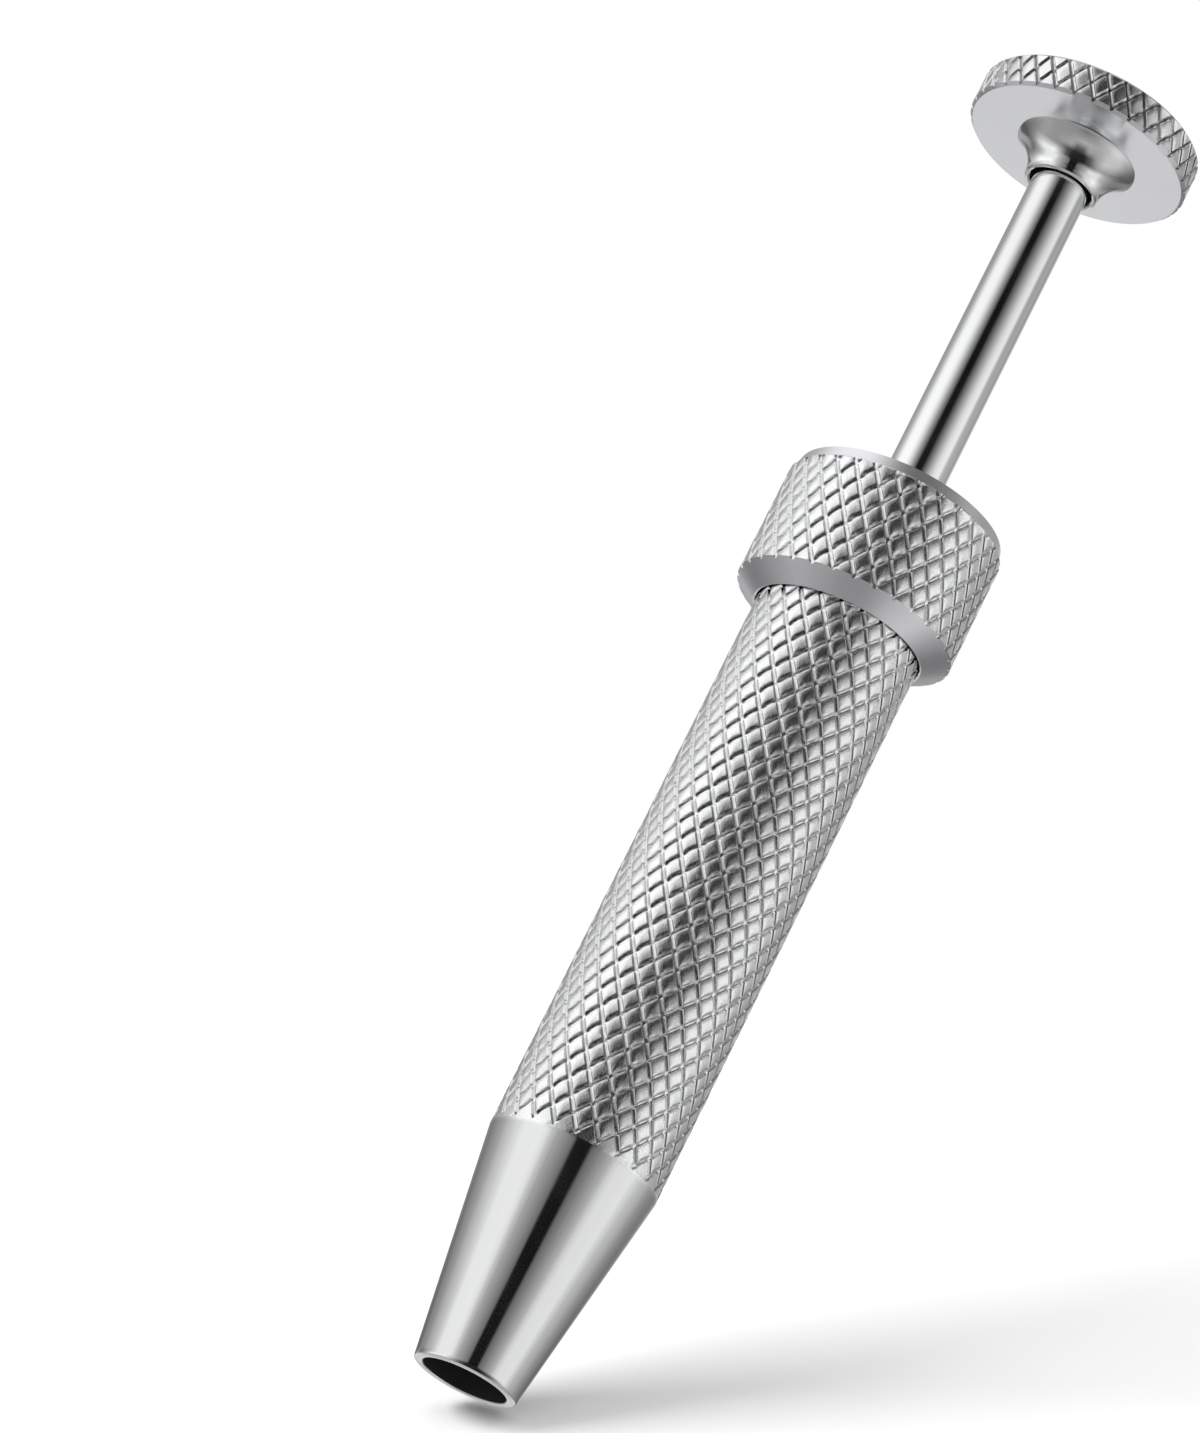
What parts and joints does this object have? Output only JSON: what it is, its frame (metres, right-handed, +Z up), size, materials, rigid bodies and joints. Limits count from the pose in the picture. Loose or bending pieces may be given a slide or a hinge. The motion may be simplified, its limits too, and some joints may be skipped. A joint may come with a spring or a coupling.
{
  "type": "spring-loaded claw pick-up tool",
  "caption": "Pen-sized metal pick-up tool: a knurled barrel with a tapered nose, a knurled finger collar, and a thumb button on a sprung rod that pushes out splaying wire claws.",
  "frame": {"origin": "centre of the nose's open mouth, in the plane of its lip", "axes": "+Z up the axis towards the thumb button; +X through claw_1"},
  "size_m": [0.0156, 0.0156, 0.0966],
  "materials": {
    "chrome": "polished, with satin end faces",
    "spring_steel": "drawn wire, bright",
    "brass": "as turned"
  },
  "bodies": {
    "grip": {"barrel": "chrome", "collar": "chrome", "spring_seat": "brass", "return_spring": "spring_steel"},
    "plunger": {"push_rod": "chrome", "stop_ring": "brass", "thumb_button": "chrome", "claw_carrier": "brass", "claw_ferrule": "spring_steel"},
    "claw_1": {"claw_1": "spring_steel"},
    "claw_2": {"claw_2": "spring_steel"},
    "claw_3": {"claw_3": "spring_steel"},
    "claw_4": {"claw_4": "spring_steel"}
  },
  "joints": [
    {"name": "plunger_slide", "type": "slide", "parent": "grip", "child": "plunger", "axis": [0, 0, -1], "range_m": [0, 0.011], "stiffness_N_per_m": 300, "springref_m": -0.006, "deforming": ["return_spring"]},
    {"name": "claw_1_spread", "type": "hinge", "parent": "plunger", "child": "claw_1", "pos_m": [0.00095, 0, 0.012], "axis": [0, -1, 0], "range_deg": [0, 14]},
    {"name": "claw_2_spread", "type": "hinge", "parent": "plunger", "child": "claw_2", "pos_m": [0, 0.00095, 0.012], "axis": [1, 0, 0], "range_deg": [0, 14]},
    {"name": "claw_3_spread", "type": "hinge", "parent": "plunger", "child": "claw_3", "pos_m": [-0.00095, 0, 0.012], "axis": [0, 1, 0], "range_deg": [0, 14]},
    {"name": "claw_4_spread", "type": "hinge", "parent": "plunger", "child": "claw_4", "pos_m": [0, -0.00095, 0.012], "axis": [-1, 0, 0], "range_deg": [0, 14]}
  ],
  "couplings": [
    {"joint": "claw_1_spread", "follows": "plunger_slide", "rad_per_m": 22.21},
    {"joint": "claw_2_spread", "follows": "plunger_slide", "rad_per_m": 22.21},
    {"joint": "claw_3_spread", "follows": "plunger_slide", "rad_per_m": 22.21},
    {"joint": "claw_4_spread", "follows": "plunger_slide", "rad_per_m": 22.21}
  ]
}
